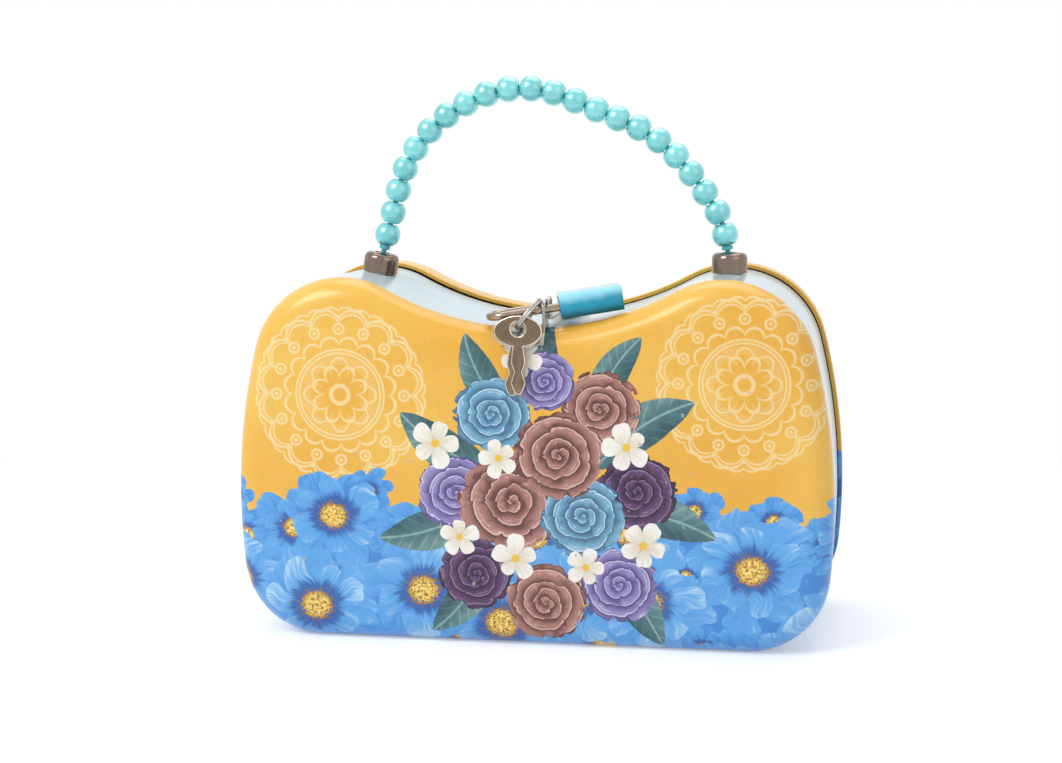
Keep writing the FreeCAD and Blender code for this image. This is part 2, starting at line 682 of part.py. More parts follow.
def hasp_tongue():
    strip = tongue_strip()
    front_y = tongue_front_y()
    run_z = tongue_heights()[1]
    slim = TONGUE_TIP_WIDTH / 2
    wide = TONGUE_ROOT_WIDTH / 2
    for side in (-1, 1):
        edges = sorted((TONGUE_X + side * slim, TONGUE_X + side * (wide + SHEET)))
        low = (edges[0], front_y - SHEET, run_z - SHEET)
        strip = strip.cut(box(low, (edges[1], TONGUE_NECK_Y, SADDLE_Z + LOCK_RISE)))
    eye = lock_point(TONGUE_X, LEG_SPACING)
    left = TONGUE_X - TAB_SHEET / 2
    stem = box((left, eye.y - TAB_R, run_z), (left + TAB_SHEET, eye.y + TAB_R, eye.z))
    disc = Part.makeCylinder(TAB_R, TAB_SHEET, vec(left, eye.y, eye.z), vec(1, 0, 0))
    hole = Part.makeCylinder(TAB_HOLE_R, TAB_SHEET, vec(left, eye.y, eye.z), vec(1, 0, 0))
    tab = fused([stem, disc]).cut(hole)
    holes = [Part.makeCylinder(RIVET_R, SHEET * 8, p) for p in tongue_rivet_points()]
    return fused([strip, tab]).cut(holes)


def tongue_rivets():
    top_z = tongue_heights()[0] + TONGUE_SHEET
    return [rivet(p, top_z, SADDLE_Z + COVER_OUT - SHEET) for p in tongue_rivet_points()]


# Key ring: a split ring of two turns, leaning across the long leg
RING_ACROSS = vec(0, 1, 0)
RING_UP = vec(math.cos(math.radians(RING_LEAN)), 0, math.sin(math.radians(RING_LEAN)))
RING_AXIS = RING_UP.cross(RING_ACROSS)


def ring_center():
    return lock_point(RING_LEG_X, 0) - RING_ACROSS * RING_LEG_BACK - RING_UP * RING_LEG_UP


def key_ring():
    turns = []
    for side in (-1, 1):
        center = ring_center() + RING_AXIS * (side * RING_TURN_STEP / 2)
        turns.append(Part.makeTorus(RING_R, RING_WIRE_R, center, RING_AXIS))
    return fused(turns)


def ring_point(y):
    """The low point of the ring where a key at that Y hangs."""
    across = y - ring_center().y
    return ring_center() + RING_ACROSS * across - RING_UP * math.sqrt(RING_R ** 2 - across ** 2)


# Keys: flat blanks with an oval bow and a wavy blade
def key_blank():
    lift = vec(0, 0, KEY_SHEET)
    oval = Part.Ellipse(vec(0, 0, 0), KEY_BOW_WIDTH / 2, KEY_BOW_HEIGHT / 2).toShape()
    bow = Part.Face(Part.Wire(oval)).extrude(lift)
    top = KEY_SHEET - KEY_BOW_HEIGHT / 2
    right = [vec(half, top - drop, 0) for drop, half in KEY_BLADE]
    left = [vec(-p.x, p.y, 0) for p in right[::-1]]
    blade = Part.Face(Part.makePolygon(right + left + right[:1])).extrude(lift)
    blank = fused([bow, blade])
    return blank.cut(Part.makeCylinder(KEY_HOLE_R, KEY_SHEET, vec(0, KEY_HOLE_UP, 0)))


def hung_key(y, turn):
    """A key whose middle lies at that Y, hung from the ring and turned about it."""
    key = key_blank()
    key.translate(vec(0, -KEY_HOLE_UP - KEY_HANG, -KEY_SHEET / 2))
    key.rotate(vec(0, 0, 0), vec(1, 0, 0), 90)
    key.rotate(vec(0, 0, 0), vec(0, 1, 0), turn)
    key.translate(ring_point(y))
    return key


KEY_BACK_Y = FACE_Y - KEY_BACK_GAP - KEY_SHEET / 2
KEY_FRONT_Y = KEY_BACK_Y - KEY_STEP


def build_parts():
    """Every piece by its name."""
    edges = handle_edges()
    feet = (FOOT_LEFT_X, FOOT_RIGHT_X)
    parts = {
        "front_panel": front_panel(),
        "body_wall": body_wall(),
        "rear_cover": rear_cover(),
        "hinge_leaf_body": hinge_leaf_body(),
        "hinge_leaf_cover": hinge_leaf_cover(),
        "hinge_pin": hinge_pin(),
        "foot_cup_left": foot_cup(FOOT_LEFT_X),
        "foot_cup_right": foot_cup(FOOT_RIGHT_X),
        "foot_nuts": Part.Compound([foot_nut(x) for x in feet]),
        "wire_stops": Part.Compound([stop_ball(x) for x in feet]),
        "handle_wire": handle_wire(edges).cut([stop_ball(x) for x in feet]),
        "bead_spacers": Part.Compound(bead_spacers(edges)),
        "catch_plate": catch_plate(),
        "catch_rivets": Part.Compound(catch_rivets()),
        "hasp_tongue": hasp_tongue(),
        "tongue_rivets": Part.Compound(tongue_rivets()),
        "padlock_shell": padlock_shell(),
        "padlock_core": padlock_core(),
        "key_plug": key_plug(),
        "shackle": shackle(),
        "shackle_spring": shackle_spring(),
        "key_ring": key_ring(),
        "key_front": hung_key(KEY_FRONT_Y, 0),
        "key_back": hung_key(KEY_BACK_Y, KEY_BACK_TURN),
    }
    for number, shape in enumerate(handle_beads(edges), 1):
        parts["bead_%02d" % number] = shape
    return parts


def main():
    os.makedirs("parts", exist_ok=True)
    for name, shape in build_parts().items():
        print(name, len(shape.Solids), round(shape.Volume, 2), shape.isValid())
        save(shape, name)


main()
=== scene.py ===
import json
import math
import bpy
from mathutils import Matrix, Vector


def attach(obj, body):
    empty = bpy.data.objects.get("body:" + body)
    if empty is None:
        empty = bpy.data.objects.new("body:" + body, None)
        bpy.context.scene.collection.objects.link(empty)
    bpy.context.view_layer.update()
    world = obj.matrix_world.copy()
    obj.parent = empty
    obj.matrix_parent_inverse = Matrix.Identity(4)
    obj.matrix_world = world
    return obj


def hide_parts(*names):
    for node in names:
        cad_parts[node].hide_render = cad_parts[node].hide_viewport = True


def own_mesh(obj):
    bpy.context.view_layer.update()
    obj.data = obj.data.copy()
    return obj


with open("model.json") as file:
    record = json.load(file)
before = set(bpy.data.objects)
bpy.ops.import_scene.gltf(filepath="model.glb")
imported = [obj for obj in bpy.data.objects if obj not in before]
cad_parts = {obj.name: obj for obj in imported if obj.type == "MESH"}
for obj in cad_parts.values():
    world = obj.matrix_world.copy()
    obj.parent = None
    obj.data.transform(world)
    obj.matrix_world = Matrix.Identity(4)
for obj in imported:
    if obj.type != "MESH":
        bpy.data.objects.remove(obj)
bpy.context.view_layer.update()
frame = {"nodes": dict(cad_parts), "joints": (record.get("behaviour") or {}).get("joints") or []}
nodes = frame["nodes"]
scene = bpy.context.scene
scene.view_settings.view_transform = "Standard"

# Sizes of the tin that the print follows, in millimetres
MM_PER_METRE = 1000.0
GROOVE_Y = 22.3
COVER_Y = 24.0
INSIDE_Z = 35.0
FULL_TURN = 2 * math.pi

# Flower bed along the floor: its top on the faces and on the wall, and the size of a big flower's cell
FACE_BED_TOP = 51.0
WALL_BED_TOP = 45.0
FACE_FLOWER = 52.0
WALL_FLOWER = 44.0
BED_RAGGED = 12.0
BED_DROP = 6.0

# Colours of the print, linear
GOLD = (0.86, 0.43, 0.040, 1)
GOLD_PALE = (0.93, 0.60, 0.12, 1)
CREAM = (0.94, 0.78, 0.42, 1)
AQUA = (0.44, 0.66, 0.76, 1)
AQUA_PALE = (0.66, 0.79, 0.86, 1)
# Dark teal for the wall's neck behind the groove: a painted shadow of the gap under the cover's rim
GROOVE_SHADOW = (0.012, 0.045, 0.065, 1)
SKY_HEART = (0.02, 0.09, 0.36, 1)
SKY_DEEP = (0.055, 0.27, 0.70, 1)
SKY = (0.115, 0.41, 0.84, 1)
SKY_PALE = (0.48, 0.74, 0.95, 1)
POLLEN = (0.90, 0.56, 0.06, 1)
POLLEN_DARK = (0.30, 0.13, 0.03, 1)
POLLEN_PALE = (0.98, 0.85, 0.38, 1)
STEEL = (0.45, 0.43, 0.40, 1)
TINPLATE = (0.66, 0.65, 0.62, 1)
TINPLATE_DULL = (0.57, 0.56, 0.53, 1)

# Padlock's sleeve: its colours from the underside up (painted shade, plain colour, painted light), and the
# height and slope of its axis in millimetres
LOCK_PAINTED_SHADE = (0.005, 0.15, 0.23, 1)
LOCK_PLAIN = (0.03, 0.36, 0.54, 1)
LOCK_PAINTED_LIGHT = (0.34, 0.77, 0.92, 1)
LOCK_Z = 99.9
LOCK_SLOPE = 0.1526
LOCK_LOW = -4.5
LOCK_HIGH = 4.2

# Teal of the spacers, and pearl lacquer of the beads
SPACER_DEEP = (0.05, 0.46, 0.50, 1)
SPACER = (0.10, 0.62, 0.66, 1)
PEARL_DEEP = (0.12, 0.58, 0.60, 1)
PEARL = (0.19, 0.72, 0.75, 1)
PEARL_RIM = (0.60, 0.92, 0.97, 1)

# Metals of the small parts
FOOT_CHROME = (0.24, 0.18, 0.145, 1)
SHACKLE_CHROME = (0.36, 0.29, 0.235, 1)
KEY_NICKEL = (0.22, 0.16, 0.108, 1)
# Paler metal on the keys' eased edges: a painted highlight
KEY_EDGE_HIGHLIGHT = (0.80, 0.72, 0.60, 1)
BRASS = (0.72, 0.52, 0.22, 1)


class Flow:
    """A value in a node tree, so that nodes are written as arithmetic."""

    def __init__(self, tree, socket):
        self.tree = tree
        self.socket = socket

    def run(self, operation, *others):
        node = self.tree.nodes.new("ShaderNodeMath")
        node.operation = operation
        for place, value in enumerate((self,) + others):
            feed(self.tree, value, node.inputs[place])
        return Flow(self.tree, node.outputs[0])

    def __add__(self, other):
        return self.run("ADD", other)

    def __sub__(self, other):
        return self.run("SUBTRACT", other)

    def __mul__(self, other):
        return self.run("MULTIPLY", other)

    def __truediv__(self, other):
        return self.run("DIVIDE", other)

    def __pow__(self, other):
        return self.run("POWER", other)

    def steps(self):
        return self.run("FLOOR")

    def part(self):
        return self.run("FRACT")

    def size(self):
        return self.run("ABSOLUTE")

    def wave(self):
        return self.run("SINE")

    def root(self):
        return self.run("SQRT")

    def most(self, other):
        return self.run("MAXIMUM", other)

    def between(self, low, high):
        """0 at low, 1 at high, eased, and clamped beyond; low may be above high."""
        node = self.tree.nodes.new("ShaderNodeMapRange")
        node.interpolation_type = "SMOOTHSTEP"
        for socket, value in zip(node.inputs, (self, low, high)):
            feed(self.tree, value, socket)
        return Flow(self.tree, node.outputs[0])


def feed(tree, value, socket):
    """A flow is linked to the socket, and a plain value is set on it."""
    if isinstance(value, Flow):
        tree.links.new(value.socket, socket)
    else:
        socket.default_value = value


# Places of the colour sockets on a Mix node
MIX_UNDER = 6
MIX_OVER = 7
MIX_RESULT = 2


def over(tree, under, colour, mask):
    """Colour laid over what is under it, where the mask is 1."""
    node = tree.nodes.new("ShaderNodeMix")
    node.data_type = "RGBA"
    feed(tree, mask, node.inputs[0])
    feed(tree, under, node.inputs[MIX_UNDER])
    feed(tree, colour, node.inputs[MIX_OVER])
    return Flow(tree, node.outputs[MIX_RESULT])


def joined(tree, x, y, z=0.0):
    node = tree.nodes.new("ShaderNodeCombineXYZ")
    for socket, value in zip(node.inputs, (x, y, z)):
        feed(tree, value, socket)
    return Flow(tree, node.outputs[0])


def split(tree, vector):
    node = tree.nodes.new("ShaderNodeSeparateXYZ")
    feed(tree, vector, node.inputs[0])
    return [Flow(tree, socket) for socket in node.outputs]


def cloud(tree, vector, scale, detail=2.0, rough=0.5):
    """Soft noise from 0 to 1."""
    node = tree.nodes.new("ShaderNodeTexNoise")
    feed(tree, vector, node.inputs["Vector"])
    node.inputs["Scale"].default_value = scale
    node.inputs["Detail"].default_value = detail
    node.inputs["Roughness"].default_value = rough
    return Flow(tree, node.outputs["Fac"])


def angle_of(x, z):
    """Direction of a point as a share of a full turn."""
    return z.run("ARCTAN2", x) / FULL_TURN


def length_of(*sides):
    """Length of a vector from its sides."""
    total = sides[0] * sides[0]
    for side in sides[1:]:
        total = total + side * side
    return total.root()


def millimetres(tree):
    """X, Y and Z of the surface point in the tin's own frame."""
    place = tree.nodes.new("ShaderNodeTexCoord")
    return [axis * MM_PER_METRE for axis in split(tree, Flow(tree, place.outputs["Object"]))]


# Node groups of the print, with the sockets that several of them share
FLOAT = "NodeSocketFloat"
COLOUR = "NodeSocketColor"
SPOT = [("X", FLOAT), ("Z", FLOAT), ("Middle X", FLOAT), ("Middle Z", FLOAT)]
TINTS = [("Under", COLOUR), ("Deep", COLOUR), ("Plain", COLOUR), ("Pale", COLOUR)]
PAINTED = [("Colour", COLOUR), ("Mask", FLOAT)]

# Half the width of the soft edge of a printed shape, as a share of its radius
PRINT_EDGE = 0.012


def new_group(name, inputs, outputs):
    tree = bpy.data.node_groups.new(name, "ShaderNodeTree")
    for label, kind in inputs:
        tree.interface.new_socket(name=label, in_out="INPUT", socket_type=kind)
    for label, kind in outputs:
        tree.interface.new_socket(name=label, in_out="OUTPUT", socket_type=kind)
    source = tree.nodes.new("NodeGroupInput")
    target = tree.nodes.new("NodeGroupOutput")
    return tree, [Flow(tree, source.outputs[label]) for label, kind in inputs], target


def put_out(tree, target, **values):
    for label, value in values.items():
        feed(tree, value, target.inputs[label])


def placed(tree, group, **values):
    node = tree.nodes.new("ShaderNodeGroup")
    node.node_tree = group
    for label, value in values.items():
        feed(tree, value, node.inputs[label.replace("_", " ")])
    return [Flow(tree, socket) for socket in node.outputs]


def tones(tree, shade, deep, middle, pale):
    """Three colours laid along a shade from 0 to 1."""
    low = over(tree, deep, middle, shade.between(0.0, 0.5))
    return over(tree, low, pale, shade.between(0.5, 1.0))


def petal_ring_group():
    """One ring of broad petals about a point: where they lie and how light they are."""
    inputs = [("Reach", FLOAT), ("Angle", FLOAT), ("Petals", FLOAT), ("Turn", FLOAT), ("Seed", FLOAT)]
    tree, flows, target = new_group("petal_ring", inputs, [("Mask", FLOAT), ("Shade", FLOAT)])
    reach, angle, petals, turn, seed = flows
    sweep = (angle + turn + 2.0) * petals
    across = (sweep.part() - 0.5).size() * 2.0
    number = sweep.steps().run("FLOORED_MODULO", petals)
    dice = tree.nodes.new("ShaderNodeTexWhiteNoise")
    dice.noise_dimensions = "1D"
    feed(tree, number * 1.7 + seed, dice.inputs["W"])
    luck = Flow(tree, dice.outputs["Value"])
    ruffle = cloud(tree, joined(tree, sweep * 2.2, seed), 1.0, 2.0)
    edge = (luck * 0.22 + 0.76) * (across ** 3.2 * -0.5 + 1.0) + (ruffle - 0.5) * 0.22
    mask = (reach - edge).between(PRINT_EDGE, -PRINT_EDGE)
    streak = cloud(tree, joined(tree, sweep * 9.0, reach * 1.6, seed), 1.0, 3.0, 0.65)
    along = reach / edge
    shade = along * 0.62 + (streak - 0.5) * 1.15 + luck * 0.2 - across ** 4.0 * 0.42 - 0.02
    put_out(tree, target, Mask=mask, Shade=shade)
    return tree


def blue_field_group(ring):
    """A layer of open blue flowers, one in each cell of a scatter, up to a height."""
    inputs = [("Across", FLOAT), ("Up", FLOAT), ("Cell", FLOAT), ("Shift", FLOAT), ("Top", FLOAT)]
    inputs += [("Dim", FLOAT), ("Under", COLOUR)]
    tree, flows, target = new_group("blue_flowers", inputs, PAINTED)
    across, up, cell, shift, top, dim, under = flows
    rise = shift * 0.37
    where = joined(tree, across / cell + shift, up / cell + rise)
    scatter = tree.nodes.new("ShaderNodeTexVoronoi")
    scatter.voronoi_dimensions = "2D"
    feed(tree, where, scatter.inputs["Vector"])
    scatter.inputs["Scale"].default_value = 1.0
    scatter.inputs["Randomness"].default_value = 0.42
    heart_x, heart_y, unused = split(tree, Flow(tree, scatter.outputs["Position"]))
    here_x, here_y, unused = split(tree, where)
    luck, other_luck, third_luck = split(tree, Flow(tree, scatter.outputs["Color"]))
    x = here_x - heart_x
    y = (here_y - heart_y) * 1.12
    reach = length_of(x, y) / (luck * 0.08 + 0.40)
    bend = cloud(tree, joined(tree, across * 0.09, up * 0.09, shift), 1.0, 1.0)
    angle = angle_of(x, y) + (bend - 0.5) * 0.16
    count = (other_luck * 2.99).steps() + 6.0
    back = placed(tree, ring, Reach=reach, Angle=angle, Petals=count, Turn=luck, Seed=third_luck * 9.0)
    front = placed(
        tree, ring, Reach=reach * 1.22, Angle=angle, Petals=count, Turn=luck + 0.07, Seed=luck * 7.0,
    )
    petals = tones(tree, back[1] - dim - 0.14, SKY_DEEP, SKY, SKY_PALE)
    petals = over(tree, petals, tones(tree, front[1] - dim + 0.06, SKY_DEEP, SKY, SKY_PALE), front[0])
    shape = back[0].most(front[0])
    grain = cloud(tree, joined(tree, across * 1.1, up * 1.1), 1.0, 2.0, 0.7)
    stamens = reach + (grain - 0.5) * 0.42
    petals = over(tree, petals, SKY_HEART, (reach + (back[1] - 0.4) * 0.4).between(0.42, 0.24) * 0.85)
    petals = over(tree, petals, POLLEN_DARK, stamens.between(0.235, 0.215))
    pollen = tones(tree, grain.between(0.34, 0.66), POLLEN_DARK, POLLEN, POLLEN_PALE)
    petals = over(tree, petals, pollen, stamens.between(0.215, 0.19))
    low_enough = ((heart_y - rise) * cell).between(top + 0.01, top - 0.01)
    mask = shape * low_enough
    put_out(tree, target, Colour=over(tree, under, petals, mask), Mask=mask)
    return tree


def rose_group():
    """A full rose seen from above: petals wound in a spiral with pale rims."""
    inputs = SPOT + [("Radius", FLOAT), ("Turn", FLOAT), ("Wobble", FLOAT)] + TINTS
    tree, flows, target = new_group("rose", inputs, PAINTED)
    x, z, middle_x, middle_z, radius, turn, wobble, under, deep, plain, pale = flows
    x = x - middle_x
    z = (z - middle_z) * 1.05
    reach = length_of(x, z) / radius
    angle = angle_of(x, z) + turn + (wobble - 0.5) * 0.5
    edge = ((angle * 5.0 * math.pi).wave().size() * 0.13 + 0.86) + (wobble - 0.5) * 0.12
    mask = (reach - edge).between(PRINT_EDGE, -PRINT_EDGE)
    wind = reach ** 0.8 * 4.6 + angle
    layer = wind.steps()
    bulge = ((angle * 3.0 + layer * 0.37) * math.pi).wave().size()
    fold = (wind - bulge * 0.34).part()
    shade = fold ** 1.5 * 0.72 + reach * 0.26 - 0.06 + (wobble - 0.5) * 0.5
    shade = shade + fold.between(0.86, 0.97) * 0.34 - fold.between(0.16, 0.0) * 0.3
    shade = shade - (reach - edge).between(-0.07, 0.0) * 0.35
    colour = tones(tree, shade, deep, plain, pale)
    put_out(tree, target, Colour=over(tree, under, colour, mask), Mask=mask)
    return tree


def leaf_group():
    """A pointed leaf with a midrib and slanting veins."""
    inputs = SPOT + [("Length", FLOAT), ("Cosine", FLOAT), ("Sine", FLOAT), ("Wobble", FLOAT)] + TINTS
    tree, flows, target = new_group("leaf", inputs, PAINTED)
    x, z, middle_x, middle_z, length, cosine, sine, wobble, under, deep, plain, pale = flows
    x = (x - middle_x) / length
    z = (z - middle_z) / length
    along = x * cosine + z * sine
    side = z * cosine - x * sine + (along * along - 0.3) * 0.16
    width = (along * along * -1.0 + 1.0).most(0.0) ** 0.85 * 0.36 + (wobble - 0.5) * 0.05
    mask = (side.size() - width).between(0.008, -0.012) * along.size().between(1.0, 0.985)
    veins = ((along - side.size() * 1.1) * 26.0).wave().between(0.55, 1.0)
    shade = side.between(-0.3, 0.3) * 0.5 + 0.2 + (wobble - 0.5) * 0.6 + veins * 0.14
    shade = shade + side.size().between(0.03, 0.012) * 0.5
    colour = tones(tree, shade, deep, plain, pale)
    put_out(tree, target, Colour=over(tree, under, colour, mask), Mask=mask)
    return tree


def blossom_group(ring):
    """A small five-petalled blossom with a pollen heart."""
    inputs = SPOT + [("Radius", FLOAT), ("Turn", FLOAT)] + TINTS
    tree, flows, target = new_group("blossom", inputs, PAINTED)
    x, z, middle_x, middle_z, radius, turn, under, deep, plain, pale = flows
    x = x - middle_x
    z = z - middle_z
    reach = length_of(x, z) / radius
    angle = angle_of(x, z)
    mask, shade = placed(tree, ring, Reach=reach * 0.9, Angle=angle, Petals=5.0, Turn=turn, Seed=turn * 7.0)
    colour = tones(tree, shade + 0.34, deep, plain, pale)
    colour = over(tree, colour, POLLEN, reach.between(0.2, 0.15))
    put_out(tree, target, Colour=over(tree, under, colour, mask), Mask=mask)
    return tree


def drawn(distance, width):
    """A printed line of that width where the distance is 0."""
    return distance.size().between(width * 0.82, width * 0.54)


# Rings of lace arches: how many, inner radius, depth, turn in arches, and line width, as shares of the radius
LACE_ARCHES = [
    (8, 0.16, 0.16, 0.0, 0.03),
    (8, 0.20, 0.21, 0.5, 0.02),
    (16, 0.54, 0.10, 0.0, 0.024),
    (16, 0.80, 0.15, 0.0, 0.026),
    (16, 0.76, 0.14, 0.0, 0.016),
    (32, 0.92, 0.05, 0.0, 0.018),
]
LACE_DOTS = 16
LACE_HATCHES = 96


def lace_group():
    """Line drawing of a round lace doily, as a mask."""
    tree, flows, target = new_group("lace_doily", SPOT + [("Radius", FLOAT)], [("Mask", FLOAT)])
    x, z, middle_x, middle_z, radius = flows
    x = (x - middle_x) / radius
    z = (z - middle_z) / radius
    reach = length_of(x, z)
    angle = angle_of(x, z) + 1.0
    lines = drawn(reach - 0.10, 0.035).most(drawn(reach - 0.46, 0.018)).most(drawn(reach - 0.50, 0.018))
    for count, inner, depth, turn, width in LACE_ARCHES:
        arch = ((angle * count + turn) * math.pi).wave().size().root()
        lines = lines.most(drawn(reach - arch * depth - inner, width))
    aside = ((angle * LACE_DOTS + 0.5).part() - 0.5) * reach * (FULL_TURN / LACE_DOTS)
    dot = length_of(aside, reach - 0.73)
    lines = lines.most(drawn(dot - 0.055, 0.02)).most(dot.between(0.026, 0.018))
    eye = length_of(aside, reach - 0.86)
    lines = lines.most(eye.between(0.03, 0.022))
    hatch = ((angle * LACE_HATCHES).part() - 0.5).size().between(0.22, 0.12)
    lines = lines.most(hatch * reach.between(0.33, 0.34) * reach.between(0.44, 0.43) * 0.8)
    put_out(tree, target, Mask=lines * reach.between(1.02, 1.0))
    return tree


def handling_group():
    """Traces of handling: faint smears for the gloss, fine scratches and tiny chips."""
    inputs = [("X", FLOAT), ("Y", FLOAT), ("Z", FLOAT)]
    outputs = [("Smear", FLOAT), ("Scratch", FLOAT), ("Chip", FLOAT), ("Ripple", FLOAT)]
    tree, (x, y, z), target = new_group("handling", inputs, outputs)
    place = joined(tree, x, y, z)
    smear = cloud(tree, place, 0.035, 3.0, 0.6)
    long_way = cloud(tree, joined(tree, x * 0.05 + z * 0.5, y * 0.4, z * 0.06 - x * 0.35), 1.6, 2.0, 0.6)
    patches = cloud(tree, place, 0.06, 1.0)
    scratch = drawn(long_way - 0.5, 0.012) * patches.between(0.52, 0.62)
    chip = cloud(tree, place, 0.42, 2.0).between(0.735, 0.75)
    ripple = cloud(tree, place, 0.05, 1.0)
    put_out(tree, target, Smear=smear, Scratch=scratch, Chip=chip, Ripple=ripple)
    return tree


petal_ring = petal_ring_group()
blue_flowers = blue_field_group(petal_ring)
rose = rose_group()
leaf = leaf_group()
blossom = blossom_group(petal_ring)
lace = lace_group()
handling = handling_group()


def new_material(name, **plain):
    """A material whose shader has these plain values set on its sockets."""
    material = bpy.data.materials.new(name)
    material.use_nodes = True
    tree = material.node_tree
    shader = tree.nodes["Principled BSDF"]
    for label, value in plain.items():
        shader.inputs[label.replace("_", " ")].default_value = value
    return material, tree, shader


def bumped(tree, shader, height, strength, distance):
    node = tree.nodes.new("ShaderNodeBump")
    node.inputs["Strength"].default_value = strength
    node.inputs["Distance"].default_value = distance
    feed(tree, height, node.inputs["Height"])
    tree.links.new(node.outputs["Normal"], shader.inputs["Normal"])


# Layers of the flower bed: cell as a share of a big one, place of the scatter, drop as a share, and shade
BED_LAYERS = [
    (0.44, 6.1, 0.05, 0.24), (0.50, 2.7, 0.08, 0.2), (0.66, 3.3, 0.13, 0.16), (0.84, 8.6, 0.14, 0.1),
    (0.94, 1.9, 0.20, 0.03), (1.0, 5.4, 0.18, -0.05),
]


def flower_bed(tree, across, up, under, top, big):
    """Layers of blue flowers, the ones behind darker, over what is under them."""
    ragged = up + cloud(tree, joined(tree, across * 0.16, up * 0.05), 1.0, 2.0) * BED_RAGGED
    bed = ragged.between(top - BED_DROP + 0.5, top - BED_DROP - 0.5)
    colour = over(tree, under, SKY_DEEP, bed)
    for cell, shift, lower, dim in BED_LAYERS:
        colour = placed(
            tree, blue_flowers, Across=across, Up=up, Cell=big * cell, Shift=shift,
            Top=top - big * lower, Dim=dim, Under=colour,
        )[0]
    return colour


# Tints of the bouquet: deep, plain and pale
DUSK = ((0.13, 0.045, 0.04, 1), (0.42, 0.20, 0.17, 1), (0.74, 0.50, 0.44, 1))
VIOLET = ((0.022, 0.008, 0.035, 1), (0.10, 0.04, 0.13, 1), (0.30, 0.19, 0.36, 1))
LILAC = ((0.10, 0.07, 0.24, 1), (0.28, 0.24, 0.52, 1), (0.62, 0.58, 0.82, 1))
MIST = ((0.05, 0.15, 0.28, 1), (0.16, 0.40, 0.58, 1), (0.50, 0.74, 0.86, 1))
IVORY = ((0.48, 0.40, 0.28, 1), (0.80, 0.74, 0.60, 1), (0.95, 0.93, 0.86, 1))
SAGE = ((0.02, 0.07, 0.09, 1), (0.07, 0.19, 0.21, 1), (0.26, 0.42, 0.40, 1))

# Lace on the front: X and Z of its middle, radius, and strength of the ink
LACE_SPOTS = [(-56, 75, 27, 0.75), (64, 80, 26, 0.7)]

# Bouquet on the front: X and Z of each leaf or flower, its length or radius, and its turn
BOUQUET_LEAVES = [
    (-24, 60, 17, 150), (-28, 36, 17, 200), (-18, 16, 16, 235), (34, 66, 18, 35), (40, 40, 17, -12),
    (32, 15, 16, -50), (6, 88, 13, 100), (26, 82, 14, 60), (-12, 80, 15, 120),
]
BOUQUET_ROSES = [
    (-15, 22, 11.5, 0.31, VIOLET), (28, 20, 12, 0.62, LILAC), (6, 14, 12.5, 0.05, DUSK),
    (-21, 46, 12, 0.5, LILAC), (33, 48, 12.5, 0.2, VIOLET), (-10, 70, 12, 0.7, MIST),
    (22, 72, 12.5, 0.9, DUSK), (6, 80, 9.5, 0.4, LILAC), (-4, 44, 16.5, 0.15, DUSK),
    (17, 40, 13, 0.55, MIST), (10, 58, 14, 0.85, DUSK),
]
BOUQUET_BLOSSOMS = [
    (-27, 61, 7.5, 0.1), (35, 32, 7.5, 0.34), (-8, 57, 6, 0.6), (30, 61, 7, 0.8), (-3, 27, 7, 0.25),
    (18, 25, 6, 0.9), (-20, 33, 6, 0.45), (-1, 87, 6, 0.15),
]


def gold_ground(tree, x, y, z):
    """Golden ground of the print, with a slow drift of shade."""
    drift = cloud(tree, joined(tree, x * 0.02, y * 0.02, z * 0.03), 1.0, 2.0)
    fine = cloud(tree, joined(tree, x, y, z), 1.3, 2.0)
    shade = drift * 0.7 + fine * 0.22
    return over(tree, GOLD, GOLD_PALE, shade.between(0.25, 0.75))


def inner_face(tree, x, y, z, middle_y):
    """1 on the faces that look towards the inside of the tin, which carry no print."""
    place = tree.nodes.new("ShaderNodeTexCoord")
    normal_x, normal_y, normal_z = split(tree, Flow(tree, place.outputs["Normal"]))
    away_y = y - middle_y
    away_z = z - INSIDE_Z
    facing = (normal_x * x + normal_y * away_y + normal_z * away_z) / length_of(x, away_y, away_z)
    return facing.between(-0.09, -0.12)


def laid_tin(name, colour_of, rough, chip_strength, middle_y):
    """Varnished printed tin, bare inside: the print, handling marks and the faint ripple of thin sheet."""
    plain = {"Coat_Weight": 0.2, "Coat_Roughness": 0.06, "Specular_IOR_Level": 0.38}
    material, tree, shader = new_material(name, **plain)
    x, y, z = millimetres(tree)
    smear, scratch, chip, ripple = placed(tree, handling, X=x, Y=y, Z=z)
    colour = colour_of(tree, x, y, z)
    colour = over(tree, colour, CREAM, scratch * 0.16)
    colour = over(tree, colour, STEEL, chip * chip_strength)
    inside = inner_face(tree, x, y, z, middle_y)
    spangle = cloud(tree, joined(tree, x, y, z), 0.22, 2.0).between(0.35, 0.65)
    colour = over(tree, colour, over(tree, TINPLATE_DULL, TINPLATE, spangle), inside)
    feed(tree, colour, shader.inputs["Base Color"])
    feed(tree, inside * 0.85, shader.inputs["Metallic"])
    feed(tree, smear * 0.16 + rough - 0.08 + scratch * 0.12 + inside * 0.1, shader.inputs["Roughness"])
    bumped(tree, shader, ripple, 0.06, 0.004)
    return material


